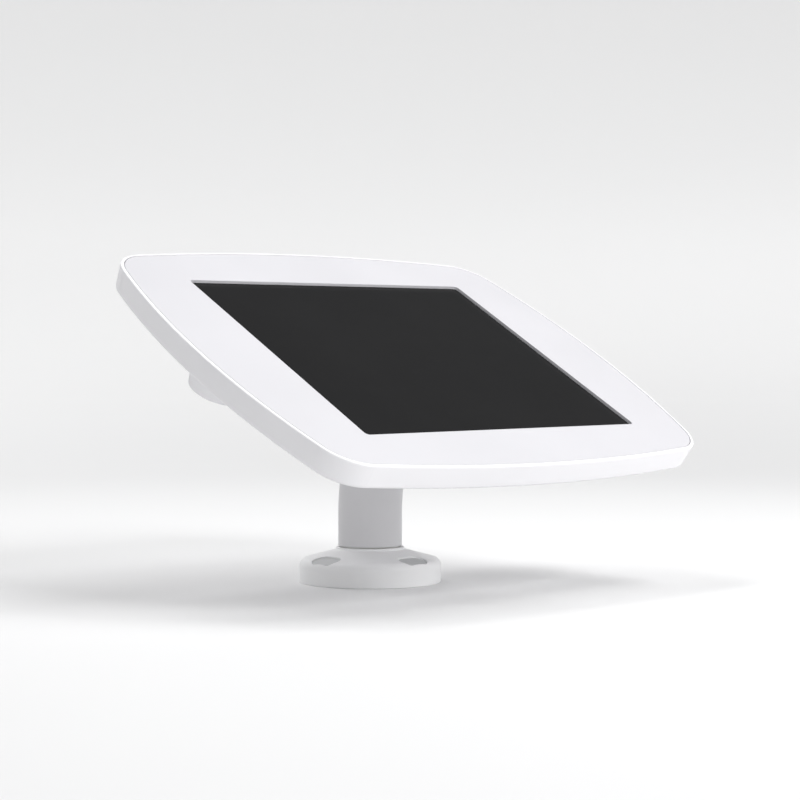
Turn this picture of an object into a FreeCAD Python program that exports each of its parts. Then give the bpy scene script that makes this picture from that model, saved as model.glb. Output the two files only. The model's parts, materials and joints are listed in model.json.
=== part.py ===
import FreeCAD, Part
import math
import os
import re

import Sketcher

# A tablet display on a short bent pole. The foot is bolted to a counter and the pole swivels on it.
# The tablet housing leans back, faces -Y, and turns on the pole between landscape and portrait.
# The origin is the middle of the foot's underside on the counter. Everything is in millimetres.
#
# The head has a frame of its own: x along the long side, y up the slope, z out of the screen,
# with its origin in the middle of the faceplate's front face. Depths behind that face are negative z.

SIZES = {
    # foot
    "base_radius": 40, "gasket_thick": 1, "gasket_inner": 24, "gasket_inset": 2.2, "gasket_clear": 0.2,
    "cone_rise": 0.271, "cone_radius": 32, "cone_height": 15, "shoulder_round": 4.5,
    "neck_radius": 19.2, "neck_top": 19.9, "neck_root_round": 1.2, "neck_lip_round": 0.45,
    "cavity_radius": 21, "web_bottom": 8.6, "foot_edge_round": 0.4,
    # counter fixing
    "bolt_circle": 34, "bolt_hole": 2.6, "screw_well": 4.4, "screw_seat": 5,
    "recess_floor": 10, "recess_width": 9.8, "recess_length": 18.9, "recess_top": 20,
    "cap_clear": 0.15, "cap_sink": 0.8, "cap_stem": 1.4,
    # swivels, the same at both ends of the pole
    "swivel_bore": 13, "swivel_clear": 0.05, "swivel_gap": 0.8, "ring_seat": 16.7, "ring_depth": 1.3,
    "ring_outer": 16.5, "ring_inner": 13.2, "ring_play": 0.1, "cable_bore": 7,
    "washer_thick": 0.8, "washer_outer": 16.4, "retainer_radius": 16.5, "retainer_thick": 2,
    "stack_play": 0.1, "tab_radius": 19.5, "pin_radius": 1.2, "pin_circle": 18, "pin_depth": 2.5,
    "foot_tab_half": 10, "hub_tab_half": 85, "retainer_screw": 1.5, "retainer_screw_head": 2.8,
    "retainer_screw_circle": 10, "retainer_screw_length": 8,
    # pole
    "tube_radius": 18, "tube_wall": 1.5, "bend_start": 39, "bend_radius": 100, "tilt": 30,
    "upper_run": 22, "plug_length": 20, "plug_clear": 0.05,
    # housing
    "half_length": 152.1, "half_width": 112.8, "long_radius": 1032, "short_radius": 364,
    "corner_radius": 23.5, "seam": 0.2, "rim_offset": 2.2, "back_offset": 0.6, "housing_depth": 14.4,
    "back_round": 2, "rim_round": 0.9, "ledge_offset": 1.8, "ledge_depth": 2, "floor_depth": 12.2,
    "cable_hole": 9.5, "hub_screw_circle": 25, "hub_screw_hole": 2,
    # faceplate
    "plate_thick": 1.8, "window_length": 209.3, "window_width": 159.3, "window_corner": 2.5,
    "plate_edge_round": 0.35, "catch_thick": 1.8, "catch_width": 14, "catch_depth": 11.9,
    "catch_wall": 147.5, "catch_lip": 4.2, "catch_lip_thick": 1.2,
    "tab_width": 12, "tab_post": 144.5, "tab_thick": 1.5, "tab_foot": 3.5, "tab_depth": 8,
    "tab_foot_thick": 1.2, "tab_pitch": 40, "keeper_post": 136.8, "keeper_reach": 6.2, "keeper_top": 5.4,
    "keeper_lip": 1.1,
    # hub on the housing's back
    "hub_depth": 9, "hub_radius": 30, "hub_end_radius": 26, "hub_cavity": 20, "hub_floor": 4,
    "hub_round": 2.5, "hub_screw": 1.75, "hub_screw_length": 7, "hub_screw_head": 3.2,
    "hub_screw_head_height": 1.8,
    # cable grommet in the housing floor
    "grommet_bore": 6, "grommet_flange": 11.5, "grommet_flange_thick": 1.1, "grommet_clear": 0.1,
    # tablet
    "tablet_length": 250.6, "tablet_width": 174.1, "tablet_corner": 9, "tablet_back": 9.5,
    "tablet_rim": 2.75, "tablet_wall": 1.2, "tablet_floor": 1, "tablet_back_round": 3,
    "glass_front": 1.85, "glass_thick": 0.85, "glass_inset": 0.2, "screen_length": 212,
    "screen_width": 160, "screen_thick": 2, "inner_gap": 0.1, "cell_length": 92, "cell_width": 120,
    "cell_thick": 2.8, "cell_pitch": 98, "cell_shift": 6, "board_length": 26, "board_width": 150,
    "board_thick": 1.6, "board_place": 108, "chip_size": 16, "chip_thick": 0.9,
    "socket_length": 8, "socket_width": 9, "socket_height": 3.2, "socket_middle": 6, "socket_wall": 0.4,
    "socket_cavity": 6,
    # tablet buttons
    "button_proud": 0.4, "button_depth": 2.1, "button_height": 2.6, "button_middle": 6,
    "button_clear": 0.3, "power_length": 12, "power_place": 48, "volume_length": 10,
    "volume_up_place": 88, "volume_down_place": 75,
    # tablet fixings
    "bracket_arm": 28, "bracket_thick": 2, "bracket_gap": 0.4, "bracket_top": 4.5, "bracket_foot": 9,
    "bracket_foot_thick": 1.5, "foot_screw": 1.25, "foot_screw_head": 2.4, "foot_screw_head_height": 1.2,
    "pad_length": 36, "pad_width": 24, "pad_across": 80, "pad_up": 50,
    "pad_gap": 0.05,
    # lock
    "lock_across": 130, "lock_up": 4.8, "boss_end": 25, "boss_end_radius": 15.3, "boss_root_radius": 17.2,
    "boss_round": 1.2, "barrel_radius": 9.5, "barrel_clear": 0.1, "barrel_flange": 11,
    "barrel_flange_thick": 0.6, "barrel_top": 10.6, "plug_radius": 5.9, "plug_play": 0.05,
    "plug_proud": 0.2, "key_width": 1.4, "key_length": 7, "key_depth": 8, "square_side": 4,
    "square_play": 0.05, "nut_across": 22, "nut_thick": 1.5, "cam_bottom": 10.35, "cam_thick": 1.45,
    "cam_hub": 4, "cam_width": 6, "cam_reach": 15.2, "cam_screw": 1.2, "cam_screw_head": 1.9,
    "cam_screw_head_height": 0.9, "cam_screw_length": 6,
}
NODES = []

doc = FreeCAD.newDocument("counter_tablet_display")
sheet = doc.addObject("Spreadsheet::Sheet", "Sizes")
for row, (alias, value) in enumerate(SIZES.items(), start=1):
    sheet.set("A%d" % row, alias)
    sheet.set("B%d" % row, str(value))
    sheet.setAlias("B%d" % row, alias)
doc.recompute()

# Lengths that several pieces share, worked out from the sheet's cells.
HEAD_REACH = "(upper_run + swivel_gap + hub_depth + housing_depth)"
HEAD_Y = "(-bend_radius * (1 - cos(tilt * 1deg)) - %s * sin(tilt * 1deg))" % HEAD_REACH
HEAD_Z = "(bend_start + bend_radius * sin(tilt * 1deg) + %s * cos(tilt * 1deg))" % HEAD_REACH
TUBE_BOTTOM = "(neck_top + swivel_gap)"
TUBE_INNER = "(tube_radius - tube_wall)"
HUB_BACK = "(housing_depth + hub_depth)"
TUBE_TOP = "(%s + swivel_gap)" % HUB_BACK
HUB_FLOOR = "(housing_depth + hub_floor)"
RETAINER_DROP = "(washer_thick + 3 * stack_play)"
TABLET_HALF_X = "(tablet_length / 2)"
TABLET_HALF_Y = "(tablet_width / 2)"


def with_sheet(text):
    """An expression in which each alias reads its cell of the sheet."""
    def named(word):
        return "Sizes." + word.group() if word.group() in SIZES else word.group()
    return re.sub(r"[a-z_]+", named, text)


def bind(item, prop, text):
    item.setExpression(prop, with_sheet(text))


def value_of(text):
    """The number that an expression of aliases has."""
    plain = text.replace("* 1deg", "* pi / 180")
    return Reader(re.findall(r"[a-z_]+|[0-9.]+|[-+*/()]", plain)).total()


class Reader:
    """Works out sums, products, brackets and sines of aliases and numbers."""

    def __init__(self, tokens):
        self.tokens = tokens
        self.at = 0

    def peek(self):
        return self.tokens[self.at] if self.at < len(self.tokens) else ""

    def take(self):
        self.at += 1
        return self.tokens[self.at - 1]

    def total(self):
        result = self.product()
        while self.peek() in ("+", "-"):
            result += self.product() if self.take() == "+" else -self.product()
        return result

    def product(self):
        result = self.single()
        while self.peek() in ("*", "/"):
            result = result * self.single() if self.take() == "*" else result / self.single()
        return result

    def single(self):
        token = self.take()
        if token == "-":
            return -self.single()
        if token == "(":
            result = self.total()
            self.take()
            return result
        if token in ("sin", "cos"):
            return getattr(math, token)(self.single())
        if token == "pi":
            return math.pi
        return float(SIZES.get(token, token))


def move(item, x="0", y="0", z="0"):
    """Put an item at a place given by expressions."""
    for letter, text in zip("xyz", (x, y, z)):
        bind(item, "Placement.Base." + letter, text)


def to_head(item, across="0", up="0"):
    """Put an item that was drawn about the head's own axis into the leaning head."""
    tilted = FreeCAD.Rotation(FreeCAD.Vector(1, 0, 0), SIZES["tilt"])
    item.Placement = FreeCAD.Placement(FreeCAD.Vector(), tilted)
    back = "%s + (%s) * cos(tilt * 1deg)" % (HEAD_Y, up)
    height = "%s + (%s) * sin(tilt * 1deg)" % (HEAD_Z, up)
    move(item, across, back, height)
    bind(item, "Placement.Rotation.Angle", "tilt")


def node(item, label):
    """Name a finished sub-part."""
    item.Label = label
    NODES.append(item)
    return item


def new_body(label):
    return doc.addObject("PartDesign::Body", label + "_body")


def sketch_on(body, name, role, depth="0"):
    """An empty sketch on one of the body's own planes, raised along the plane's normal."""
    sketch = body.newObject("Sketcher::SketchObject", name)
    plane = [item for item in body.Origin.OriginFeatures if item.Role == role][0]
    sketch.AttachmentSupport = (plane, [""])
    sketch.MapMode = "FlatFace"
    bind(sketch, "AttachmentOffset.Base.z", depth)
    return sketch


def hold(sketch, text, *constraint):
    """Add a dimension to a sketch and bind it to the sheet."""
    amount = value_of(text)
    index = sketch.addConstraint(Sketcher.Constraint(*constraint, amount))
    bind(sketch, "Constraints[%d]" % index, text)


def join_ends(sketch, first, first_end, second, second_end, kind="Coincident"):
    sketch.addConstraint(Sketcher.Constraint(kind, first, first_end, second, second_end))


def polygon(sketch, corners):
    """A closed outline of straight lines, with both coordinates of every corner bound."""
    spots = [FreeCAD.Vector(value_of(x), value_of(y), 0) for x, y in corners]
    count = len(spots)
    for index in range(count):
        sketch.addGeometry(Part.LineSegment(spots[index], spots[(index + 1) % count]), False)
    for index in range(count):
        join_ends(sketch, index, 2, (index + 1) % count, 1)
    for index, (x, y) in enumerate(corners):
        hold(sketch, x, "DistanceX", -1, 1, index, 1)
        hold(sketch, y, "DistanceY", -1, 1, index, 1)


def circle(sketch, radius, x="0", y="0"):
    centre = FreeCAD.Vector(value_of(x), value_of(y), 0)
    index = sketch.addGeometry(Part.Circle(centre, FreeCAD.Vector(0, 0, 1), value_of(radius)), False)
    hold(sketch, radius, "Radius", index)
    hold(sketch, x, "DistanceX", -1, 1, index, 3)
    hold(sketch, y, "DistanceY", -1, 1, index, 3)


def add_arc(sketch, centre, radius, start, end):
    whole = Part.Circle(FreeCAD.Vector(centre[0], centre[1], 0), FreeCAD.Vector(0, 0, 1), radius)
    return sketch.addGeometry(Part.ArcOfCircle(whole, start, end), False)


def pillow(sketch, offset):
    """The housing's outline: four long shallow arcs joined by four round corners, moved out by an offset."""
    shift = value_of(offset)
    long_radius = SIZES["long_radius"]
    short_radius = SIZES["short_radius"]
    corner = SIZES["corner_radius"]
    long_centre = long_radius - SIZES["half_width"]
    short_centre = short_radius - SIZES["half_length"]
    # The corner arc touches both side arcs from inside, so its centre is their radius less its own away.
    far = long_radius - corner
    near = short_radius - corner
    span = math.hypot(long_centre, short_centre)
    along = (far * far - near * near + span * span) / (2 * span)
    off = math.sqrt(far * far - along * along)
    unit_x = -short_centre / span
    unit_y = long_centre / span
    corner_x = along * unit_x + off * unit_y
    corner_y = -long_centre + along * unit_y - off * unit_x
    top_end = math.atan2(corner_y + long_centre, corner_x)
    side_end = math.atan2(corner_y, corner_x + short_centre)
    quarter = math.pi / 2
    # Sides and corners in turn, anticlockwise from the right-hand side.
    sides = [((-short_centre, 0), short_radius, side_end), ((0, -long_centre), long_radius, quarter - top_end),
             ((short_centre, 0), short_radius, side_end), ((0, long_centre), long_radius, quarter - top_end)]
    signs = [(1, 1), (-1, 1), (-1, -1), (1, -1)]
    for turn in range(4):
        centre, radius, half = sides[turn]
        middle = turn * quarter
        add_arc(sketch, centre, radius + shift, middle - half, middle + half)
        following = sides[(turn + 1) % 4][2]
        spot = (corner_x * signs[turn][0], corner_y * signs[turn][1])
        add_arc(sketch, spot, corner + shift, middle + half, middle + quarter - following)
    for index in range(8):
        join_ends(sketch, index, 2, (index + 1) % 8, 1, "Tangent")
    places = [("half_length - short_radius", "0"), ("0", "half_width - long_radius"),
              ("short_radius - half_length", "0"), ("0", "long_radius - half_width")]
    for turn in range(4):
        hold(sketch, ("short_radius + " if turn % 2 == 0 else "long_radius + ") + offset, "Radius", 2 * turn)
        hold(sketch, "corner_radius + " + offset, "Radius", 2 * turn + 1)
        hold(sketch, places[turn][0], "DistanceX", -1, 1, 2 * turn, 3)
        hold(sketch, places[turn][1], "DistanceY", -1, 1, 2 * turn, 3)


def rounded_rectangle(sketch, half_x, half_y, radius, x="0", y="0"):
    """A rectangle with round corners about a centre."""
    wide = value_of(half_x)
    high = value_of(half_y)
    bend = value_of(radius)
    shift_x = value_of(x)
    shift_y = value_of(y)
    quarter = math.pi / 2
    signs = [(1, 1), (-1, 1), (-1, -1), (1, -1)]
    starts = [(wide, bend - high), (wide - bend, high), (-wide, high - bend), (bend - wide, -high)]
    ends = [(wide, high - bend), (bend - wide, high), (-wide, bend - high), (wide - bend, -high)]
    for turn in range(4):
        start = FreeCAD.Vector(starts[turn][0] + shift_x, starts[turn][1] + shift_y, 0)
        end = FreeCAD.Vector(ends[turn][0] + shift_x, ends[turn][1] + shift_y, 0)
        sketch.addGeometry(Part.LineSegment(start, end), False)
        spot = ((wide - bend) * signs[turn][0] + shift_x, (high - bend) * signs[turn][1] + shift_y)
        add_arc(sketch, spot, bend, turn * quarter, (turn + 1) * quarter)
    for index in range(8):
        join_ends(sketch, index, 2, (index + 1) % 8, 1, "Tangent")
    for turn in range(4):
        sketch.addConstraint(Sketcher.Constraint("Vertical" if turn % 2 == 0 else "Horizontal", 2 * turn))
        hold(sketch, radius, "Radius", 2 * turn + 1)
    hold(sketch, "%s + %s" % (x, half_x), "DistanceX", -1, 1, 0, 1)
    hold(sketch, "%s + %s" % (y, half_y), "DistanceY", -1, 1, 2, 1)
    hold(sketch, "%s - (%s)" % (x, half_x), "DistanceX", -1, 1, 4, 1)
    hold(sketch, "%s - (%s)" % (y, half_y), "DistanceY", -1, 1, 6, 1)


def pad(body, sketch, length, downwards=False):
    feature = body.newObject("PartDesign::Pad", sketch.Name + "_pad")
    feature.Profile = sketch
    feature.Reversed = downwards
    bind(feature, "Length", length)
    return feature


def pocket(body, sketch, length, upwards=False):
    """Cut a sketch's shape out of the body. A pocket cuts against its sketch's normal unless turned round."""
    doc.recompute()
    before = body.Shape.Volume
    feature = body.newObject("PartDesign::Pocket", sketch.Name + "_pocket")
    feature.Profile = sketch
    feature.Reversed = upwards
    bind(feature, "Length", length)
    doc.recompute()
    if body.Shape.Volume >= before:
        raise RuntimeError(sketch.Name + " cuts nothing")
    return feature


def round_edges(body, radius, chosen):
    """Round the edges of the body's last feature that a test chooses."""
    doc.recompute()
    base = body.Tip
    names = ["Edge%d" % (index + 1) for index, edge in enumerate(base.Shape.Edges) if chosen(edge)]
    if not names:
        raise RuntimeError(body.Name + " has no such edges")
    feature = body.newObject("PartDesign::Fillet", body.Name + "_round")
    feature.Base = (base, names)
    bind(feature, "Radius", radius)
    doc.recompute()
    return feature


def at_height(height, outer_than="0"):
    """A test for level edges at one height that lie outside a radius."""
    level = value_of(height)
    limit = value_of(outer_than)

    def chosen(edge):
        box = edge.BoundBox
        reach = max(abs(box.XMin), abs(box.XMax), abs(box.YMin), abs(box.YMax))
        return abs(box.ZMin - level) < 0.01 and abs(box.ZMax - level) < 0.01 and reach > limit
    return chosen


def ring_edge(radius, height):
    """A test for the circular edge of one radius at one height."""
    size = value_of(radius)
    level = value_of(height)

    def chosen(edge):
        curve = edge.Curve
        return (isinstance(curve, Part.Circle) and abs(curve.Radius - size) < 0.01
                and abs(curve.Center.z - level) < 0.01)
    return chosen


def turned(label, corners):
    """A body turned about its own Z axis from a profile of radius and height."""
    body = new_body(label)
    sketch = sketch_on(body, label + "_profile", "XZ_Plane")
    polygon(sketch, corners)
    feature = body.newObject("PartDesign::Revolution", label + "_turn")
    feature.Profile = sketch
    feature.ReferenceAxis = (sketch, ["V_Axis"])
    feature.Angle = 360
    doc.recompute()
    return body


def around(body, features, count):
    """Repeat features evenly about the body's Z axis."""
    pattern = body.newObject("PartDesign::PolarPattern", body.Name + "_pattern")
    pattern.Originals = features
    pattern.Axis = ([item for item in body.Origin.OriginFeatures if item.Role == "Z_Axis"][0], [""])
    pattern.Angle = 360
    pattern.Occurrences = count
    body.Tip = pattern
    doc.recompute()
    return pattern


def box(name, x, y, z):
    """A block from its low and high limit along each axis."""
    item = doc.addObject("Part::Box", name)
    for prop, limits in zip(("Length", "Width", "Height"), (x, y, z)):
        bind(item, prop, "(%s) - (%s)" % (limits[1], limits[0]))
    move(item, x[0], y[0], z[0])
    return item


def cylinder(name, radius, bottom, top, x="0", y="0"):
    item = doc.addObject("Part::Cylinder", name)
    bind(item, "Radius", radius)
    bind(item, "Height", "(%s) - (%s)" % (top, bottom))
    move(item, x, y, bottom)
    return item


def cone(name, low_radius, high_radius, bottom, top, x="0", y="0"):
    item = doc.addObject("Part::Cone", name)
    bind(item, "Radius1", low_radius)
    bind(item, "Radius2", high_radius)
    bind(item, "Height", "(%s) - (%s)" % (top, bottom))
    move(item, x, y, bottom)
    return item


def fused(name, items):
    item = doc.addObject("Part::MultiFuse", name)
    item.Shapes = items
    return item


def together(name, items):
    item = doc.addObject("Part::Compound", name)
    item.Links = items
    return item


def cut(name, base, tool):
    item = doc.addObject("Part::Cut", name)
    item.Base = base
    item.Tool = tool
    return item


def on_circle(radius, angle):
    """Expressions for a place on a circle about the axis."""
    return ("(%s) * cos(%s * 1deg)" % (radius, angle), "(%s) * sin(%s * 1deg)" % (radius, angle))


def slot(sketch, smaller="0"):
    """The oval of a counter-screw recess, its long way across the foot's radius."""
    half_width = "(recess_width / 2 - %s)" % smaller
    half_length = "(recess_length / 2 - %s)" % smaller
    straight = value_of("(recess_length - recess_width) / 2")
    middle = value_of("bolt_circle")
    bend = value_of(half_width)
    add_arc(sketch, (middle, straight), bend, 0, math.pi)
    left = sketch.addGeometry(Part.LineSegment(FreeCAD.Vector(middle - bend, straight, 0),
                                               FreeCAD.Vector(middle - bend, -straight, 0)), False)
    add_arc(sketch, (middle, -straight), bend, math.pi, 2 * math.pi)
    sketch.addGeometry(Part.LineSegment(FreeCAD.Vector(middle + bend, -straight, 0),
                                        FreeCAD.Vector(middle + bend, straight, 0)), False)
    for index in range(4):
        join_ends(sketch, index, 2, (index + 1) % 4, 1, "Tangent")
    sketch.addConstraint(Sketcher.Constraint("Vertical", left))
    hold(sketch, half_width, "Radius", 0)
    hold(sketch, "bolt_circle", "DistanceX", -1, 1, 0, 3)
    hold(sketch, "%s - %s" % (half_length, half_width), "DistanceY", -1, 1, 0, 3)
    hold(sketch, "%s - %s" % (half_width, half_length), "DistanceY", -1, 1, 2, 3)


# ---------------------------------------------------------------- foot

def foot():
    slope = "cone_height + cone_rise * (cone_radius - %s)"
    shoulder = slope % "base_radius"
    body = turned("base_flange", [
        ("swivel_bore", "web_bottom"), ("cavity_radius", "web_bottom"), ("cavity_radius", "gasket_thick"),
        ("base_radius - gasket_inset", "gasket_thick"), ("base_radius - gasket_inset", "0"),
        ("base_radius", "0"), ("base_radius", shoulder), ("neck_radius", slope % "neck_radius"),
        ("neck_radius", "neck_top"), ("ring_seat", "neck_top"), ("ring_seat", "neck_top - ring_depth"),
        ("swivel_bore", "neck_top - ring_depth")])
    round_edges(body, "shoulder_round", ring_edge("base_radius", shoulder))
    round_edges(body, "neck_root_round", ring_edge("neck_radius", slope % "neck_radius"))
    round_edges(body, "neck_lip_round", ring_edge("neck_radius", "neck_top"))
    round_edges(body, "foot_edge_round", ring_edge("base_radius", "0"))
    recess = sketch_on(body, "recess", "XY_Plane", "recess_floor")
    slot(recess)
    well = sketch_on(body, "screw_well", "XY_Plane", "screw_seat")
    circle(well, "screw_well", "bolt_circle")
    hole = sketch_on(body, "bolt_hole", "XY_Plane")
    circle(hole, "bolt_hole", "bolt_circle")
    cuts = [pocket(body, recess, "recess_top - recess_floor", True),
            pocket(body, well, "recess_floor - screw_seat", True), pocket(body, hole, "screw_seat", True)]
    around(body, cuts, 4)
    pin_hole = sketch_on(body, "pin_hole", "XY_Plane", "web_bottom")
    circle(pin_hole, "pin_radius", "0", "-pin_circle")
    pocket(body, pin_hole, "pin_depth", True)
    node(body, "base_flange")

    gasket_edge = "base_radius - gasket_inset - gasket_clear"
    gasket = turned("base_gasket", [
        ("gasket_inner", "0"), (gasket_edge, "0"), (gasket_edge, "gasket_thick"),
        ("gasket_inner", "gasket_thick")])
    hole = sketch_on(gasket, "gasket_hole", "XY_Plane")
    circle(hole, "bolt_hole", "bolt_circle")
    around(gasket, [pocket(gasket, hole, "gasket_thick", True)], 4)
    node(gasket, "base_gasket")

    node(thrust_ring("foot_ring", "neck_top", 1), "foot_ring")
    node(friction_washer("foot_washer", "web_bottom", -1), "foot_washer")
    pin = cylinder("foot_pin", "pin_radius", "web_bottom - retainer_thick - " + RETAINER_DROP,
                   "web_bottom + pin_depth", "0", "-pin_circle")
    node(together("foot_pin_set", [pin]), "foot_stop_pin")


def screw_cap(label, angle):
    """An oval cover over one counter screw, its top just under the foot's sloping face."""
    body = new_body(label)
    outline = sketch_on(body, label + "_oval", "XY_Plane", "recess_floor")
    slot(outline, "cap_clear")
    pad(body, outline, "recess_top - recess_floor")
    stem = sketch_on(body, label + "_stem", "XY_Plane", "recess_floor")
    circle(stem, "screw_well - cap_clear", "bolt_circle")
    pad(body, stem, "cap_stem", True)
    top = sketch_on(body, label + "_top", "XZ_Plane")
    slope = "cone_height - cap_sink + cone_rise * (cone_radius - (%s))"
    outer = "base_radius + cap_sink"
    inner = "neck_radius"
    above = "recess_top + 1"
    polygon(top, [(outer, slope % outer), (outer, above), (inner, above), (inner, slope % inner)])
    doc.recompute()
    before = body.Shape.Volume
    groove = body.newObject("PartDesign::Groove", label + "_groove")
    groove.Profile = top
    groove.ReferenceAxis = (top, ["V_Axis"])
    groove.Angle = 360
    doc.recompute()
    if body.Shape.Volume >= before:
        raise RuntimeError(label + " keeps its square top")
    body.Placement = FreeCAD.Placement(FreeCAD.Vector(), FreeCAD.Rotation(FreeCAD.Vector(0, 0, 1), angle))
    node(body, label)


# ---------------------------------------------------------------- swivels

def thrust_ring(name, face, side):
    """A slippery ring sunk in the fixed face, standing nearly as high as the gap under the pole's shoulder."""
    low = "%s - %d * (ring_depth - ring_play / 2)" % (face, side)
    high = "%s + %d * (swivel_gap - ring_play)" % (face, side)
    return turned(name, [("ring_inner", low), ("ring_outer", low), ("ring_outer", high), ("ring_inner", high)])


def friction_washer(name, face, side):
    near = "%s + %d * stack_play" % (face, side)
    far = "%s + %d * (stack_play + washer_thick)" % (face, side)
    return turned(name, [("ring_inner", near), ("washer_outer", near),
                         ("washer_outer", far), ("ring_inner", far)])


def retainer(name, near, side, tab_half, screws):
    """A plate that holds the pole's end in its bore. Its tab stops against the pin at each end of the turn."""
    far = "%s + %d * retainer_thick" % (near, side)
    low, high = (near, far) if side > 0 else (far, near)
    disc = cylinder(name + "_disc", "retainer_radius", low, high)
    tab = cylinder(name + "_tab", "tab_radius", low, high)
    bind(tab, "Angle", "2 * %s" % tab_half)
    turn = FreeCAD.Rotation(FreeCAD.Vector(0, 0, 1), 90 - SIZES[tab_half])
    tab.Placement = FreeCAD.Placement(FreeCAD.Vector(), turn)
    move(tab, "0", "0", low)
    radii = ("retainer_screw", "retainer_screw_head")[::side]
    end = "%s - %d * retainer_screw_length" % (near, side)
    shank_low, shank_high = (end, near) if side > 0 else (near, end)
    holes = [cylinder(name + "_bore", "cable_bore", low, high)]
    fasteners = []
    for number, angle in enumerate((30, 150, 270), start=1):
        x, y = on_circle("retainer_screw_circle", angle)
        holes.append(cone("%s_sink_%d" % (name, number), *radii, low, high, x, y))
        head = cone("%s_head_%d" % (screws, number), *radii, low, high, x, y)
        shank = cylinder("%s_shank_%d" % (screws, number), "retainer_screw", shank_low, shank_high, x, y)
        fasteners.append(fused("%s_%d" % (screws, number), [head, shank]))
    plate = fused(name + "_plate", [disc, tab])
    return cut(name, plate, fused(name + "_holes", holes)), together(screws, fasteners)


def stepped_plug(name, end, shoulder, inside, side):
    """A plug fixed in the tube, with a thinner journal that turns in the bore and a bore for the cable."""
    plug = "(%s - plug_clear)" % TUBE_INNER
    journal = "(swivel_bore - swivel_clear)"
    body = turned(name, [("cable_bore", end), (journal, end), (journal, shoulder), (plug, shoulder),
                         (plug, inside), ("cable_bore", inside)])
    hole = sketch_on(body, name + "_tapped", "XY_Plane", end)
    circle(hole, "retainer_screw", *on_circle("retainer_screw_circle", 30))
    around(body, [pocket(body, hole, "retainer_screw_length + 1", side > 0)], 3)
    return body


# ---------------------------------------------------------------- pole

def pole():
    body = new_body("pole_tube")
    ring = sketch_on(body, "tube_section", "XY_Plane", TUBE_BOTTOM)
    circle(ring, "tube_radius")
    circle(ring, TUBE_INNER)
    path = sketch_on(body, "tube_path", "YZ_Plane")
    bottom = value_of(TUBE_BOTTOM)
    start = SIZES["bend_start"]
    bend = SIZES["bend_radius"]
    lean = math.radians(SIZES["tilt"])
    turn_end = FreeCAD.Vector(-bend * (1 - math.cos(lean)), start + bend * math.sin(lean), 0)
    tip = turn_end + FreeCAD.Vector(-math.sin(lean), math.cos(lean), 0) * SIZES["upper_run"]
    path.addGeometry(Part.LineSegment(FreeCAD.Vector(0, bottom, 0), FreeCAD.Vector(0, start, 0)), False)
    add_arc(path, (-bend, start), bend, 0, lean)
    path.addGeometry(Part.LineSegment(turn_end, tip), False)
    join_ends(path, 0, 2, 1, 1, "Tangent")
    join_ends(path, 1, 2, 2, 1, "Tangent")
    path.addConstraint(Sketcher.Constraint("Vertical", 0))
    hold(path, "0", "DistanceX", -1, 1, 0, 1)
    hold(path, TUBE_BOTTOM, "DistanceY", -1, 1, 0, 1)
    hold(path, "bend_start - " + TUBE_BOTTOM, "Distance", 0)
    hold(path, "bend_radius", "Radius", 1)
    hold(path, "bend_start + bend_radius * sin(tilt * 1deg)", "DistanceY", -1, 1, 1, 2)
    hold(path, "upper_run", "Distance", 2)
    pipe = body.newObject("PartDesign::AdditivePipe", "tube_sweep")
    pipe.Profile = ring
    pipe.Spine = (path, ["Edge1", "Edge2", "Edge3"])
    doc.recompute()
    node(body, "pole_tube")

    foot_end = "(web_bottom - %s)" % RETAINER_DROP
    node(stepped_plug("foot_spigot", foot_end, TUBE_BOTTOM, TUBE_BOTTOM + " + plug_length", 1), "foot_spigot")
    plate, screws = retainer("foot_plate", foot_end, -1, "foot_tab_half", "foot_screws")
    node(plate, "foot_retainer")
    node(screws, "foot_retainer_screws")

    head_end = "(%s - %s)" % (RETAINER_DROP, HUB_FLOOR)
    spindle = stepped_plug("head_spindle", head_end, "-" + TUBE_TOP, "-%s - plug_length" % TUBE_TOP, -1)
    to_head(spindle)
    node(spindle, "head_spindle")
    plate, screws = retainer("hub_plate", head_end, 1, "hub_tab_half", "hub_plate_screws")
    to_head(plate)
    to_head(screws)
    node(plate, "hub_retainer")
    node(screws, "hub_retainer_screws")


# ---------------------------------------------------------------- head: hub and housing

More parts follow.
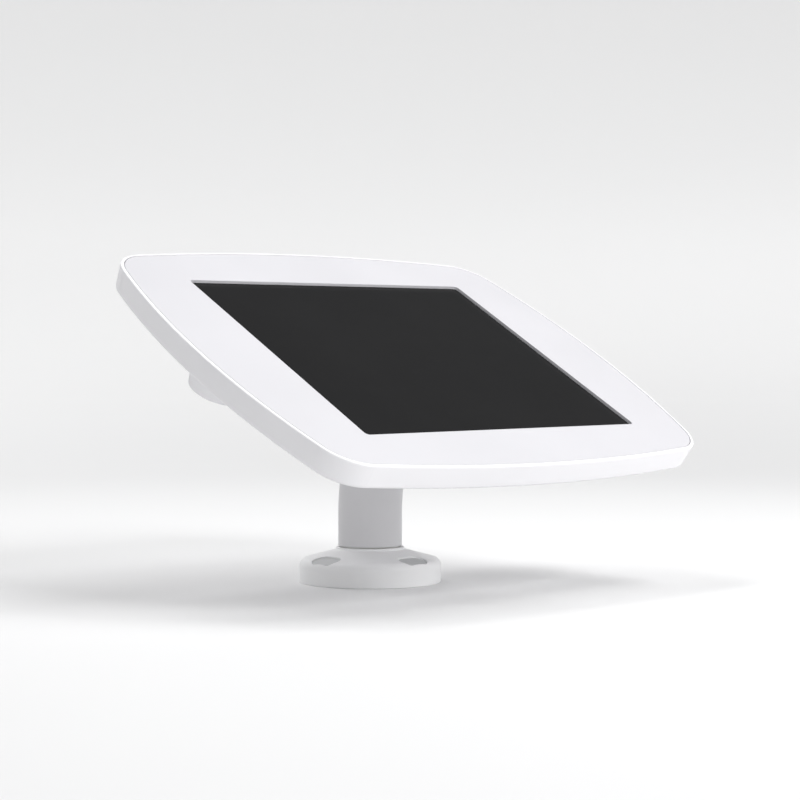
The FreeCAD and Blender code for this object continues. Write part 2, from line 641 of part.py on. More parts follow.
def hub():
    back = "-" + HUB_BACK
    floor = "-" + HUB_FLOOR
    body = turned("head_hub", [
        ("swivel_bore", floor), ("hub_cavity", floor), ("hub_cavity", "-housing_depth"),
        ("hub_radius", "-housing_depth"), ("hub_end_radius", back), ("ring_seat", back),
        ("ring_seat", back + " + ring_depth"), ("swivel_bore", back + " + ring_depth")])
    round_edges(body, "hub_round", ring_edge("hub_end_radius", back))
    hole = sketch_on(body, "hub_tapped", "XY_Plane", "-housing_depth")
    circle(hole, "hub_screw", *on_circle("hub_screw_circle", 45))
    around(body, [pocket(body, hole, "hub_screw_length - 1")], 4)
    pin_hole = sketch_on(body, "hub_pin_hole", "XY_Plane", floor)
    circle(pin_hole, "pin_radius", "0", "-pin_circle")
    pocket(body, pin_hole, "pin_depth")
    to_head(body)
    node(body, "head_hub")
    ring = thrust_ring("hub_ring", back, -1)
    to_head(ring)
    node(ring, "hub_ring")
    washer = friction_washer("hub_washer", floor, 1)
    to_head(washer)
    node(washer, "hub_washer")
    pin_top = floor + " + retainer_thick + " + RETAINER_DROP
    pin = together("hub_pin_set", [cylinder("hub_pin", "pin_radius", floor + " - pin_depth", pin_top,
                                            "0", "-pin_circle")])
    to_head(pin)
    node(pin, "hub_stop_pin")
    screws = []
    for number, angle in enumerate((45, 135, 225, 315), start=1):
        x, y = on_circle("hub_screw_circle", angle)
        head = cylinder("hub_screw_head_%d" % number, "hub_screw_head", "-floor_depth",
                        "hub_screw_head_height - floor_depth", x, y)
        shank = cylinder("hub_screw_shank_%d" % number, "hub_screw", "-floor_depth - hub_screw_length",
                         "-floor_depth", x, y)
        screws.append(fused("hub_screw_%d" % number, [head, shank]))
    screws = together("hub_screw_set", screws)
    to_head(screws)
    node(screws, "hub_screws")
    grommet = turned("cable_grommet", [
        ("grommet_bore", "-housing_depth"), ("cable_hole - grommet_clear", "-housing_depth"),
        ("cable_hole - grommet_clear", "-floor_depth"), ("grommet_flange", "-floor_depth"),
        ("grommet_flange", "grommet_flange_thick - floor_depth"),
        ("grommet_bore", "grommet_flange_thick - floor_depth")])
    to_head(grommet)
    node(grommet, "cable_grommet")


def housing():
    body = new_body("housing_shell")
    front = sketch_on(body, "housing_front", "XY_Plane")
    pillow(front, "rim_offset")
    back = sketch_on(body, "housing_back", "XY_Plane", "-housing_depth")
    pillow(back, "back_offset")
    loft = body.newObject("PartDesign::AdditiveLoft", "housing_wall")
    loft.Profile = front
    loft.Sections = [back]
    loft.Ruled = True
    doc.recompute()
    round_edges(body, "back_round", at_height("-housing_depth"))
    round_edges(body, "rim_round", at_height("0"))
    seat = sketch_on(body, "plate_seat", "XY_Plane")
    pillow(seat, "seam")
    pocket(body, seat, "ledge_depth")
    tray = sketch_on(body, "tray", "XY_Plane")
    pillow(tray, "(-ledge_offset)")
    pocket(body, tray, "floor_depth")
    openings = sketch_on(body, "floor_openings", "XY_Plane")
    circle(openings, "cable_hole")
    circle(openings, "barrel_radius + barrel_clear", "-lock_across", "lock_up")
    pocket(body, openings, "housing_depth + 1")
    hole = sketch_on(body, "hub_screw_holes", "XY_Plane")
    circle(hole, "hub_screw_hole", *on_circle("hub_screw_circle", 45))
    around(body, [pocket(body, hole, "housing_depth + 1")], 4)
    to_head(body)
    node(body, "housing_shell")


def faceplate():
    body = new_body("faceplate")
    outline = sketch_on(body, "plate_outline", "XY_Plane")
    pillow(outline, "(-seam)")
    pad(body, outline, "plate_thick", True)
    window = sketch_on(body, "window", "XY_Plane")
    rounded_rectangle(window, "window_length / 2", "window_width / 2", "window_corner")
    pocket(body, window, "plate_thick + 1")
    round_edges(body, "plate_edge_round", at_height("0"))
    to_head(body)
    node(body, "faceplate")

    low = "lock_up - catch_width / 2"
    high = "lock_up + catch_width / 2"
    post = box("catch_post", ("-catch_wall - catch_thick", "-catch_wall"), (low, high),
               ("-catch_depth", "-plate_thick"))
    lip = box("catch_foot", ("-catch_wall - catch_thick", "catch_lip - catch_wall"), (low, high),
              ("-catch_depth", "catch_lip_thick - catch_depth"))
    catch = fused("catch_pair", [post, lip])
    to_head(catch)
    node(catch, "faceplate_catch")

    tabs = []
    keepers = []
    for number, step in enumerate((-1, 0, 1), start=1):
        across = ("%d * tab_pitch - tab_width / 2" % step, "%d * tab_pitch + tab_width / 2" % step)
        post = box("tab_post_%d" % number, ("tab_post", "tab_post + tab_thick"), across,
                   ("-tab_depth", "-plate_thick"))
        foot_piece = box("tab_foot_%d" % number, ("tab_post - tab_foot", "tab_post + tab_thick"), across,
                         ("-tab_depth", "tab_foot_thick - tab_depth"))
        tabs.append(fused("tab_%d" % number, [post, foot_piece]))
        post = box("keeper_post_%d" % number, ("keeper_post", "keeper_post + tab_thick"), across,
                   ("-floor_depth", "-keeper_top"))
        lip = box("keeper_lip_%d" % number, ("keeper_post", "keeper_post + keeper_reach"), across,
                  ("-keeper_top - keeper_lip", "-keeper_top"))
        keepers.append(fused("keeper_%d" % number, [post, lip]))
    tabs = together("tab_set", tabs)
    to_head(tabs)
    node(tabs, "faceplate_tabs")
    keepers = together("keeper_set", keepers)
    to_head(keepers)
    node(keepers, "tab_keepers")


# ---------------------------------------------------------------- head: tablet

def tablet():
    body = new_body("tablet_tray")
    outline = sketch_on(body, "tablet_outline", "XY_Plane", "-tablet_rim")
    rounded_rectangle(outline, TABLET_HALF_X, TABLET_HALF_Y, "tablet_corner")
    pad(body, outline, "tablet_back - tablet_rim", True)
    round_edges(body, "tablet_back_round", at_height("-tablet_back"))
    inside = sketch_on(body, "tablet_inside", "XY_Plane", "-tablet_rim")
    rounded_rectangle(inside, TABLET_HALF_X + " - tablet_wall", TABLET_HALF_Y + " - tablet_wall",
                      "tablet_corner - tablet_wall")
    pocket(body, inside, "tablet_back - tablet_rim - tablet_floor")
    gap = "button_clear"
    high = ("-button_middle - button_height / 2 - " + gap, "-button_middle + button_height / 2 + " + gap)
    through_x = ("-%s - 1" % TABLET_HALF_X, "tablet_wall + 1 - " + TABLET_HALF_X)
    through_y = (TABLET_HALF_Y + " - tablet_wall - 1", TABLET_HALF_Y + " + 1")
    windows = [box("power_window", through_x, ("power_place - power_length / 2 - " + gap,
                                               "power_place + power_length / 2 + " + gap), high)]
    for name in ("volume_up_place", "volume_down_place"):
        span = ("-%s - volume_length / 2 - %s" % (name, gap), "volume_length / 2 + %s - %s" % (gap, name))
        windows.append(box(name + "_window", span, through_y, high))
    windows.append(box("socket_window", (TABLET_HALF_X + " - tablet_wall - 1", TABLET_HALF_X + " + 1"),
                       ("-socket_width / 2", "socket_width / 2"),
                       ("-socket_middle - socket_height / 2", "socket_height / 2 - socket_middle")))
    shell = cut("tablet_shell", body, fused("tablet_windows", windows))
    to_head(shell)
    node(shell, "tablet_back_shell")

    glass = new_body("tablet_glass")
    outline = sketch_on(glass, "glass_outline", "XY_Plane", "-glass_front")
    rounded_rectangle(outline, TABLET_HALF_X + " - glass_inset", TABLET_HALF_Y + " - glass_inset",
                      "tablet_corner - glass_inset")
    pad(glass, outline, "glass_thick", True)
    to_head(glass)
    node(glass, "tablet_glass")

    layer = "(-tablet_rim - screen_thick)"
    panel = box("panel", ("-screen_length / 2", "screen_length / 2"), ("-screen_width / 2", "screen_width / 2"),
                (layer, layer + " + screen_thick"))
    screen = together("screen_panel", [panel])
    to_head(screen)
    node(screen, "tablet_screen")

    floor = "(tablet_floor + inner_gap - tablet_back)"
    cells = []
    for number, side in enumerate((-1, 1), start=1):
        middle = "(cell_shift + %d * cell_pitch / 2)" % side
        cells.append(box("cell_%d" % number, (middle + " - cell_length / 2", middle + " + cell_length / 2"),
                         ("-cell_width / 2", "cell_width / 2"), (floor, floor + " + cell_thick")))
    cells = together("cell_pair", cells)
    to_head(cells)
    node(cells, "tablet_battery")

    board = box("board", ("-board_place - board_length / 2", "board_length / 2 - board_place"),
                ("-board_width / 2", "board_width / 2"), (floor, floor + " + board_thick"))
    chips = []
    for number, step in enumerate((-1, 0, 1), start=1):
        middle = "(%d * board_width / 4)" % step
        chips.append(box("chip_%d" % number, ("-board_place - chip_size / 2", "chip_size / 2 - board_place"),
                         (middle + " - chip_size / 2", middle + " + chip_size / 2"),
                         (floor + " + board_thick", floor + " + board_thick + chip_thick")))
    board = fused("board_and_chips", [board] + chips)
    to_head(board)
    node(board, "tablet_logic_board")

    outer_face = TABLET_HALF_X + " - inner_gap"
    block = box("socket_block", (outer_face + " - socket_length", outer_face),
                ("inner_gap - socket_width / 2", "socket_width / 2 - inner_gap"),
                ("inner_gap - socket_middle - socket_height / 2",
                 "socket_height / 2 - socket_middle - inner_gap"))
    mouth = box("socket_mouth", (outer_face + " - socket_cavity", outer_face + " + 1"),
                ("2 * socket_wall - socket_width / 2", "socket_width / 2 - 2 * socket_wall"),
                ("socket_wall - socket_middle - socket_height / 2 + inner_gap",
                 "socket_height / 2 - socket_middle - inner_gap - socket_wall"))
    socket = cut("socket", block, mouth)
    to_head(socket)
    node(socket, "tablet_charging_socket")


def buttons():
    high = ("-button_middle - button_height / 2", "button_height / 2 - button_middle")
    block = box("power_block", ("-%s - button_proud" % TABLET_HALF_X,
                                "button_depth - button_proud - " + TABLET_HALF_X),
                ("power_place - power_length / 2", "power_place + power_length / 2"), high)
    power = together("power_key", [block])
    to_head(power)
    node(power, "power_button")
    for label, place in (("volume_up_button", "volume_up_place"), ("volume_down_button", "volume_down_place")):
        key = together(label + "_key", [box(label + "_block", ("-%s - volume_length / 2" % place,
                                                               "volume_length / 2 - " + place),
                                            (TABLET_HALF_Y + " + button_proud - button_depth",
                                             TABLET_HALF_Y + " + button_proud"), high)])
        to_head(key)
        node(key, label)


def tablet_fixings():
    brackets = []
    screws = []
    number = 0
    for side_x in (-1, 1):
        for side_y in (-1, 1):
            number += 1
            inner_x = "(%s + bracket_gap)" % TABLET_HALF_X
            inner_y = "(%s + bracket_gap)" % TABLET_HALF_Y

            def limits(low, high, side):
                return (low, high) if side > 0 else ("-(%s)" % high, "-(%s)" % low)
            block = box("bracket_block_%d" % number,
                        limits(inner_x + " - bracket_arm", inner_x + " + bracket_thick", side_x),
                        limits(inner_y + " - bracket_arm", inner_y + " + bracket_thick", side_y),
                        ("-floor_depth", "-bracket_top"))
            core = box("bracket_core_%d" % number,
                       limits(inner_x + " - bracket_arm - 1", inner_x, side_x),
                       limits(inner_y + " - bracket_arm - 1", inner_y, side_y),
                       ("-floor_depth - 1", "1 - bracket_top"))
            angle = cut("bracket_angle_%d" % number, block, core)
            ear_x = limits(inner_x + " + bracket_thick - 0.01", inner_x + " + bracket_thick + bracket_foot",
                           side_x)
            ear_y = limits(inner_y + " - bracket_arm", inner_y + " - bracket_arm + bracket_foot", side_y)
            top = "bracket_foot_thick - floor_depth"
            ear = box("bracket_ear_%d" % number, ear_x, ear_y, ("-floor_depth", top))
            x = "(%s + bracket_thick + bracket_foot / 2) * %d" % (inner_x, side_x)
            y = "(%s - bracket_arm + bracket_foot / 2) * %d" % (inner_y, side_y)
            hole = cylinder("bracket_hole_%d" % number, "foot_screw", "-floor_depth - 1", top + " + 1", x, y)
            solid = fused("bracket_solid_%d" % number, [angle, ear])
            brackets.append(cut("bracket_%d" % number, solid, hole))
            head = cylinder("bracket_screw_head_%d" % number, "foot_screw_head", top,
                            top + " + foot_screw_head_height", x, y)
            shank = cylinder("bracket_screw_shank_%d" % number, "foot_screw", "-floor_depth", top, x, y)
            screws.append(fused("bracket_screw_%d" % number, [head, shank]))
    brackets = together("bracket_set", brackets)
    to_head(brackets)
    node(brackets, "tablet_brackets")
    screws = together("bracket_screw_set", screws)
    to_head(screws)
    node(screws, "bracket_screws")

    pads = []
    for side_x in (-1, 1):
        for side_y in (-1, 1):
            x = "(%d * pad_across)" % side_x
            y = "(%d * pad_up)" % side_y
            pads.append(box("pad_%d" % (len(pads) + 1), (x + " - pad_length / 2", x + " + pad_length / 2"),
                            (y + " - pad_width / 2", y + " + pad_width / 2"),
                            ("-floor_depth", "-tablet_back - pad_gap")))
    pads = together("pad_set", pads)
    to_head(pads)
    node(pads, "rubber_pads")


# ---------------------------------------------------------------- head: lock

def lock():
    bore = "(barrel_radius + barrel_clear)"
    place = ("-lock_across", "lock_up")
    boss = turned("lock_boss", [(bore, "-housing_depth"), (bore, "-boss_end"),
                                ("boss_end_radius", "-boss_end"), ("boss_root_radius", "-housing_depth")])
    round_edges(boss, "boss_round", ring_edge("boss_end_radius", "-boss_end"))
    to_head(boss, *place)
    node(boss, "lock_boss")

    inner = "(plug_radius + plug_play)"
    rim = "(-boss_end - barrel_flange_thick)"
    barrel = turned("lock_barrel", [(inner, rim), ("barrel_flange", rim), ("barrel_flange", "-boss_end"),
                                    ("barrel_radius", "-boss_end"), ("barrel_radius", "-barrel_top"),
                                    (inner, "-barrel_top")])
    to_head(barrel, *place)
    node(barrel, "lock_barrel")

    nut = new_body("lock_nut")
    hexagon = sketch_on(nut, "nut_outline", "XY_Plane", "-floor_depth")
    reach = "nut_across / 2 / cos(30 * 1deg)"
    polygon(hexagon, [on_circle(reach, 60 * turn) for turn in range(6)])
    circle(hexagon, bore)
    pad(nut, hexagon, "nut_thick")
    to_head(nut, *place)
    node(nut, "lock_nut")

    end = "(%s - plug_proud)" % rim
    core = cylinder("plug_core", "plug_radius", end, "-cam_bottom")
    half = "(square_side / 2)"
    square = box("plug_square", ("-" + half, half), ("-" + half, half),
                 ("-cam_bottom - 1", "cam_thick - cam_bottom"))
    slot_tool = box("key_slot", ("-key_width / 2", "key_width / 2"), ("-key_length / 2", "key_length / 2"),
                    (end + " - 1", end + " + key_depth"))
    screw_hole = cylinder("plug_screw_hole", "cam_screw", "cam_thick - cam_bottom - cam_screw_length - 1",
                          "cam_thick - cam_bottom + 1")
    plug = cut("plug", fused("plug_solid", [core, square]), fused("plug_cuts", [slot_tool, screw_hole]))
    to_head(plug, *place)
    node(plug, "lock_plug")

    top = "cam_thick - cam_bottom"
    ring = cylinder("cam_ring", "cam_hub", "-cam_bottom", top)
    arm = box("cam_arm", ("-cam_reach", "0"), ("-cam_width / 2", "cam_width / 2"), ("-cam_bottom", top))
    side = "(square_side / 2 + square_play)"
    hole = box("cam_hole", ("-" + side, side), ("-" + side, side), ("-cam_bottom - 1", top + " + 1"))
    cam = cut("cam", fused("cam_solid", [ring, arm]), hole)
    to_head(cam, *place)
    node(cam, "lock_cam")

    head = cylinder("cam_screw_head", "cam_screw_head", top, top + " + cam_screw_head_height")
    shank = cylinder("cam_screw_shank", "cam_screw", top + " - cam_screw_length", top)
    screw = fused("cam_screw", [head, shank])
    to_head(screw, *place)
    node(screw, "cam_screw")


foot()
for label, angle in (("screw_cap_right", 0), ("screw_cap_back", 90),
                     ("screw_cap_left", 180), ("screw_cap_front", 270)):
    screw_cap(label, angle)
pole()
hub()
housing()
faceplate()
tablet()
buttons()
tablet_fixings()
lock()
doc.recompute()

for item in doc.Objects:
    if "Invalid" in item.State or "Error" in item.State:
        raise RuntimeError("%s did not compute: %s" % (item.Label, item.State))
os.makedirs("parts", exist_ok=True)
for item in NODES:
    if item.Shape.isNull() or not item.Shape.isValid():
        raise RuntimeError(item.Label + " has no valid shape")
    item.Shape.exportStep("parts/%s.step" % item.Label)
    print("%-24s %2d solid %10.1f mm3" % (item.Label, len(item.Shape.Solids), item.Shape.Volume))
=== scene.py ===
"""Looks of the counter tablet display: finishes, soft edges, floor, lights and camera round the CAD frame."""

import json
import math

import bmesh
import bpy
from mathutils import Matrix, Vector

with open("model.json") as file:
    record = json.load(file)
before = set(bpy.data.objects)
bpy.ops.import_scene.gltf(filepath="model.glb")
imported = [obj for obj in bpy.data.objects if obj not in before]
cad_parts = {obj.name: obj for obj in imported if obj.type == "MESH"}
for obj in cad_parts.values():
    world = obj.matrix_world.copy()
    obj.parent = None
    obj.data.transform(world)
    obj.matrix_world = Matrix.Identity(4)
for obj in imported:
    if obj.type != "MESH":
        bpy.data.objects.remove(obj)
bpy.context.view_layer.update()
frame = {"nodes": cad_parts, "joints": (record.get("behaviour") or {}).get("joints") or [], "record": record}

MM = 0.001
NODES = frame["nodes"]
LOCK = next(joint for joint in frame["joints"] if joint["name"] == "lock_turn")

PAINT_GLOSS = (0.42, 0.5)        # lowest and highest roughness of the powder coat
PAINT_GRAIN = 1300               # grains of the powder coat per metre
PAINT_DEPTH = 0.02 * MM
RING_PITCH = 0.12 * MM           # turning rings on the lock
RING_DEPTH = 0.004 * MM
COVER_EDGE = 0.35 * MM           # radii of the broken edges
BARREL_EDGE = 0.25 * MM
PLUG_EDGE = 0.15 * MM
SHARP_ANGLE = 35                 # degrees from which an edge counts as sharp
EDGE_STEPS = 3


# ---------------------------------------------------------------- materials
def start_material(name):
    """A new node material: its tree, its shader and the coordinates that stay with the piece."""
    made = bpy.data.materials.new(name)
    made.use_nodes = True
    tree = made.node_tree
    shader = tree.nodes["Principled BSDF"]
    place = tree.nodes.new("ShaderNodeTexCoord").outputs["Object"]
    return made, tree, shader, place


def noise(tree, place, scale, detail=4.0, rough=0.55):
    """Soft noise in the piece's own space, with about scale lumps per metre."""
    node = tree.nodes.new("ShaderNodeTexNoise")
    node.inputs["Scale"].default_value = scale
    node.inputs["Detail"].default_value = detail
    node.inputs["Roughness"].default_value = rough
    tree.links.new(place, node.inputs["Vector"])
    return node.outputs["Fac"]


def shades(tree, amount, dark, light, low=0.35, high=0.65):
    """A colour that runs from dark to light with the amount."""
    ramp = tree.nodes.new("ShaderNodeValToRGB")
    ramp.color_ramp.elements[0].position = low
    ramp.color_ramp.elements[1].position = high
    ramp.color_ramp.elements[0].color = (*dark, 1.0)
    ramp.color_ramp.elements[1].color = (*light, 1.0)
    tree.links.new(amount, ramp.inputs["Fac"])
    return ramp.outputs["Color"]


def between(tree, amount, low, high):
    """A number that runs from low to high with the amount."""
    node = tree.nodes.new("ShaderNodeMapRange")
    node.inputs["From Min"].default_value = 0.3
    node.inputs["From Max"].default_value = 0.7
    node.inputs["To Min"].default_value = low
    node.inputs["To Max"].default_value = high
    tree.links.new(amount, node.inputs["Value"])
    return node.outputs["Result"]


def relief(tree, height, depth, under=None):
    """A bump of a real depth in metres, on top of another bump if there is one."""
    node = tree.nodes.new("ShaderNodeBump")
    node.inputs["Strength"].default_value = 1.0
    node.inputs["Distance"].default_value = depth
    tree.links.new(height, node.inputs["Height"])
    if under is not None:
        tree.links.new(under, node.inputs["Normal"])
    return node.outputs["Normal"]


def finish_of(name, dark, light, gloss, patch, grain, depth, **constants):
    """A finish: patches of two close shades, a gloss that varies with them, and a grain of a real depth."""
    made, tree, shader, place = start_material(name)
    patches = noise(tree, place, patch)
    tree.links.new(shades(tree, patches, dark, light), shader.inputs["Base Color"])
    tree.links.new(between(tree, patches, *gloss), shader.inputs["Roughness"])
    fine = noise(tree, place, grain, detail=2.0)
    tree.links.new(relief(tree, fine, depth), shader.inputs["Normal"])
    for socket, value in constants.items():
        shader.inputs[socket.replace("_", " ")].default_value = value
    return made


FINISHES = {
    # slot: finish(name, dark, light, gloss, patches per metre, grains per metre, depth of the grain)
    "painted_white": finish_of("powder_coat_white", (0.80, 0.795, 0.815), (0.82, 0.815, 0.835), PAINT_GLOSS,
                               9, PAINT_GRAIN, PAINT_DEPTH),
    # painted shade: the tube's coat is the housing's white paint made darker, for the shade that the head
    # casts on it
    "painted_tube": finish_of("powder_coat_tube_painted_shade", (0.65, 0.645, 0.66), (0.67, 0.665, 0.68), (0.38, 0.46),
                              14, PAINT_GRAIN, PAINT_DEPTH),
    "cap_grey": finish_of("grey_plastic", (0.55, 0.555, 0.56), (0.59, 0.595, 0.60), (0.42, 0.55),
                          60, 2600, 0.03 * MM),
    "black_rubber": finish_of("black_rubber", (0.018, 0.018, 0.019), (0.032, 0.032, 0.034), (0.7, 0.85),
                              80, 2200, 0.05 * MM),
    "white_acetal": finish_of("white_acetal", (0.78, 0.78, 0.75), (0.84, 0.84, 0.82), (0.3, 0.4),
                              60, 1800, 0.01 * MM),
    "turned_aluminium": finish_of("turned_aluminium", (0.68, 0.69, 0.70), (0.78, 0.79, 0.80), (0.22, 0.34),
                                  150, 2500, 0.01 * MM, Metallic=1.0),
    "zinc_steel": finish_of("zinc_steel", (0.55, 0.56, 0.58), (0.68, 0.68, 0.67), (0.25, 0.42),
                            120, 1500, 0.01 * MM, Metallic=1.0),
    "lock_chrome": finish_of("lock_chrome", (0.72, 0.72, 0.73), (0.80, 0.80, 0.81), (0.1, 0.2),
                             200, 2500, 0.005 * MM, Metallic=1.0),
    "tablet_aluminium": finish_of("blasted_aluminium", (0.34, 0.345, 0.355), (0.38, 0.385, 0.395),
                                  (0.35, 0.45), 50, 4000, 0.01 * MM, Metallic=1.0),
    "screen_glass": finish_of("screen_glass", (0.0165, 0.0165, 0.017), (0.018, 0.018, 0.0185), (0.06, 0.1),
                              14, 60, 0.001 * MM, Specular_IOR_Level=0.02),
    "screen_panel": finish_of("screen_panel", (0.012, 0.012, 0.013), (0.02, 0.02, 0.022), (0.2, 0.3),
                              60, 900, 0.01 * MM),
    "cell_foil": finish_of("cell_foil", (0.08, 0.08, 0.09), (0.11, 0.11, 0.12), (0.3, 0.5),
                           60, 300, 0.05 * MM, Metallic=0.4),
    "circuit_board": finish_of("circuit_board", (0.01, 0.09, 0.045), (0.02, 0.14, 0.07), (0.3, 0.45),
                               300, 1200, 0.03 * MM),
    "socket_metal": finish_of("socket_metal", (0.5, 0.5, 0.52), (0.64, 0.64, 0.65), (0.25, 0.35),
                              200, 2000, 0.01 * MM, Metallic=1.0),
}
NODE_SHADES_AND_PAINTED_LIGHT = {
    # node: its own shade of the paint; the foot's shade, lighter than the housing's, is painted light
    "faceplate": finish_of("powder_coat_face", (0.585, 0.58, 0.605), (0.60, 0.595, 0.62), PAINT_GLOSS,
                           9, PAINT_GRAIN, PAINT_DEPTH),
    # painted light: the foot's coat is the housing's white paint made a little lighter, so that the foot
    # looks more brightly lit
    "base_flange": finish_of("powder_coat_foot_painted_light", (0.84, 0.84, 0.845), (0.86, 0.86, 0.865), PAINT_GLOSS,
                             14, PAINT_GRAIN, PAINT_DEPTH),
}


def worked_out(tree, kind, operation, source, constant=None):
    """A node that works on one linked value and, if there is one, a constant."""
    node = tree.nodes.new(kind)
    node.operation = operation
    tree.links.new(source, node.inputs[0])
    if constant is not None:
        node.inputs[1].default_value = constant
    return node


def turned(made, centre, axis, pitch, depth):
    """Adds the fine rings that a lathe leaves, as a bump round an axis."""
    tree = made.node_tree
    shader = tree.nodes["Principled BSDF"]
    under = shader.inputs["Normal"].links[0].from_socket
    place = tree.nodes.new("ShaderNodeTexCoord").outputs["Object"]
    offset = worked_out(tree, "ShaderNodeVectorMath", "SUBTRACT", place, centre)
    across = worked_out(tree, "ShaderNodeVectorMath", "CROSS_PRODUCT", offset.outputs["Vector"], axis)
    radius = worked_out(tree, "ShaderNodeVectorMath", "LENGTH", across.outputs["Vector"])
    rings = worked_out(tree, "ShaderNodeMath", "PINGPONG", radius.outputs["Value"], pitch)
    height = worked_out(tree, "ShaderNodeMath", "DIVIDE", rings.outputs["Value"], pitch)
    tree.links.new(relief(tree, height.outputs["Value"], depth, under), shader.inputs["Normal"])


turned(FINISHES["lock_chrome"], LOCK["pos_m"], Vector(LOCK["axis"]).normalized(), RING_PITCH, RING_DEPTH)


def coat_nodes():
    """Gives every CAD node the finish of its own material slot."""
    for part in frame["record"]["subparts"]:
        materials = NODES[part["node"]].data.materials
        materials.clear()
        materials.append(NODE_SHADES_AND_PAINTED_LIGHT.get(part["node"], FINISHES[part["material_slot"]]))


coat_nodes()


def soften_edges(node, width):
    """Breaks the sharp edges of a CAD node with a small real radius."""
    bevel = NODES[node].modifiers.new("soft_edge", "BEVEL")
    bevel.width = width
    bevel.segments = EDGE_STEPS
    bevel.limit_method = "ANGLE"
    bevel.angle_limit = math.radians(SHARP_ANGLE)
    bevel.harden_normals = True


for label in ("right", "back", "left", "front"):
    soften_edges("screw_cap_" + label, COVER_EDGE)
soften_edges("lock_barrel", BARREL_EDGE)
soften_edges("lock_plug", PLUG_EDGE)


# ---------------------------------------------------------------- floor, lights and camera
SWEEP_FLAT = 1.0                 # radius of the flat floor, in metres
SWEEP_BEND = 3.0                 # radius of its upturned rim
SWEEP_END = 60                   # degrees that the rim turns up
SWEEP_RINGS = 24
SWEEP_SPOKES = 96
SWEEP_MERGE = 0.00001            # points closer than this are one
GLOW_START = 0.8                 # distance from the object where the backdrop's glow begins
GLOW_FULL = 2.4                  # distance where it is full
GLOW = 0.47


def studio_paper():
    """Pale matt paper that glows a little far from the object, as a lit backdrop does."""
    paper = finish_of("studio_paper", (0.755, 0.755, 0.757), (0.76, 0.76, 0.762), (0.9, 0.95),
                      3, 400, 0.02 * MM, Specular_IOR_Level=0.1)
    tree = paper.node_tree
    shader = tree.nodes["Principled BSDF"]
    place = tree.nodes.new("ShaderNodeTexCoord").outputs["Object"]
    away = worked_out(tree, "ShaderNodeVectorMath", "LENGTH", place)
    glow = tree.nodes.new("ShaderNodeMapRange")
    glow.interpolation_type = "SMOOTHSTEP"
    glow.inputs["From Min"].default_value = GLOW_START
    glow.inputs["From Max"].default_value = GLOW_FULL
    glow.inputs["To Max"].default_value = GLOW
    tree.links.new(away.outputs["Value"], glow.inputs["Value"])
    tree.links.new(glow.outputs["Result"], shader.inputs["Emission Strength"])
    shader.inputs["Emission Color"].default_value = (1.0, 1.0, 1.0, 1.0)
    return paper


def studio_floor():
    """A pale sweep: a flat disc that turns up gently all round, so that no edge shows from any side."""
    profile = [(0.0, 0.0), (SWEEP_FLAT, 0.0)]
    for step in range(1, SWEEP_RINGS + 1):
        angle = math.radians(SWEEP_END) * step / SWEEP_RINGS
        profile.append((SWEEP_FLAT + SWEEP_BEND * math.sin(angle), SWEEP_BEND * (1 - math.cos(angle))))
    mesh = bmesh.new()
    line = [mesh.verts.new((radius, 0.0, height)) for radius, height in profile]
    edges = [mesh.edges.new(pair) for pair in zip(line, line[1:])]
    bmesh.ops.spin(mesh, geom=line + edges, cent=(0, 0, 0), axis=(0, 0, 1),
                   angle=math.tau, steps=SWEEP_SPOKES, use_merge=True)
    bmesh.ops.remove_doubles(mesh, verts=mesh.verts, dist=SWEEP_MERGE)
    bmesh.ops.recalc_face_normals(mesh, faces=mesh.faces)
    for face in mesh.faces:
        face.smooth = True
    data = bpy.data.meshes.new("studio_floor")
    mesh.to_mesh(data)
    mesh.free()
    floor = bpy.data.objects.new("studio_floor", data)
    bpy.context.scene.collection.objects.link(floor)
    data.materials.append(studio_paper())


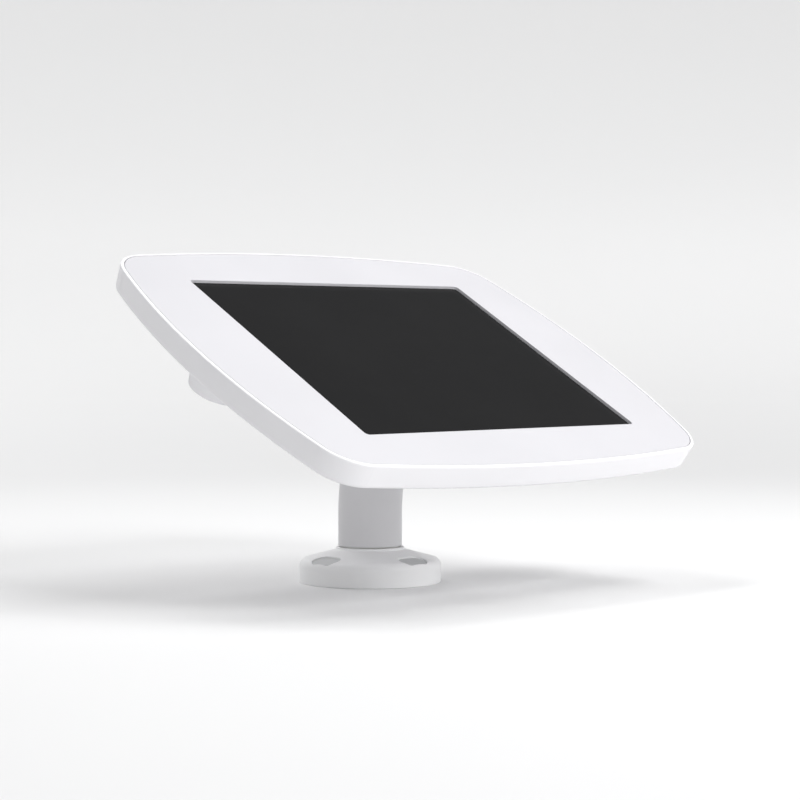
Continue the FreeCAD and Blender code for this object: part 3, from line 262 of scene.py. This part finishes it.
def soft_light(name, azimuth, elevation, size, power):
    """A square soft light that looks at the object. Azimuth 0 is in front, on -Y, and 90 is on +X."""
    turn, lift = math.radians(azimuth), math.radians(elevation)
    way = Vector((math.sin(turn) * math.cos(lift), -math.cos(turn) * math.cos(lift), math.sin(lift)))
    light = bpy.data.lights.new(name, "AREA")
    light.size = size
    light.energy = power
    holder = bpy.data.objects.new(name, light)
    holder.location = AIM + way * LIGHT_DISTANCE
    holder.rotation_mode = "QUATERNION"
    holder.visible_camera = False
    holder.rotation_quaternion = (-way).to_track_quat("-Z", "Y")
    bpy.context.scene.collection.objects.link(holder)


AIM = Vector((0.0, -0.03, 0.1))  # the middle of the object
LIGHT_DISTANCE = 1.8
AIR_COLOUR = (0.98, 0.985, 1.0, 1.0)
AIR_LIGHT = 0.15
STUDIO_LIGHTS = {
    # name: (azimuth and elevation in degrees, size in metres, power in watts)
    "light_front": (5, 35, 0.6, 16.3),
    "light_front_right": (35, 16, 0.45, 4.8),
    "light_right_high": (45, 62, 0.6, 7.5),
    "light_side_high": (90, 62, 0.6, 7.5),
    "light_back": (165, 35, 0.6, 3.4),
    "light_back_high": (180, 62, 0.6, 8.5),
    "light_left_high": (-135, 62, 0.6, 5.4),
    "light_camera_high": (-45, 62, 0.6, 1.2),
}
studio_floor()
for name, (azimuth, elevation, size, power) in STUDIO_LIGHTS.items():
    soft_light(name, azimuth, elevation, size, power)

world = bpy.data.worlds.new("studio_air")
world.use_nodes = True
air = world.node_tree.nodes["Background"]
air.inputs["Color"].default_value = AIR_COLOUR
air.inputs["Strength"].default_value = AIR_LIGHT
bpy.context.scene.world = world
bpy.context.scene.view_settings.view_transform = "Standard"

CAMERA_PLACE = (-0.8719, -0.8978, 0.1354)
CAMERA_YAW = math.radians(44.934)
CAMERA_PITCH = math.radians(-1.507)
CAMERA_LENS = 99.87              # millimetres, on a 36 mm sensor
CAMERA_REACH = 50.0
camera_data = bpy.data.cameras.new("camera")
camera_data.sensor_width = 36.0
camera_data.lens = CAMERA_LENS
camera_data.clip_end = CAMERA_REACH
camera = bpy.data.objects.new("camera", camera_data)
camera.location = CAMERA_PLACE
camera.rotation_euler = (math.pi / 2 + CAMERA_PITCH, 0.0, -CAMERA_YAW)
bpy.context.scene.collection.objects.link(camera)
bpy.context.scene.camera = camera
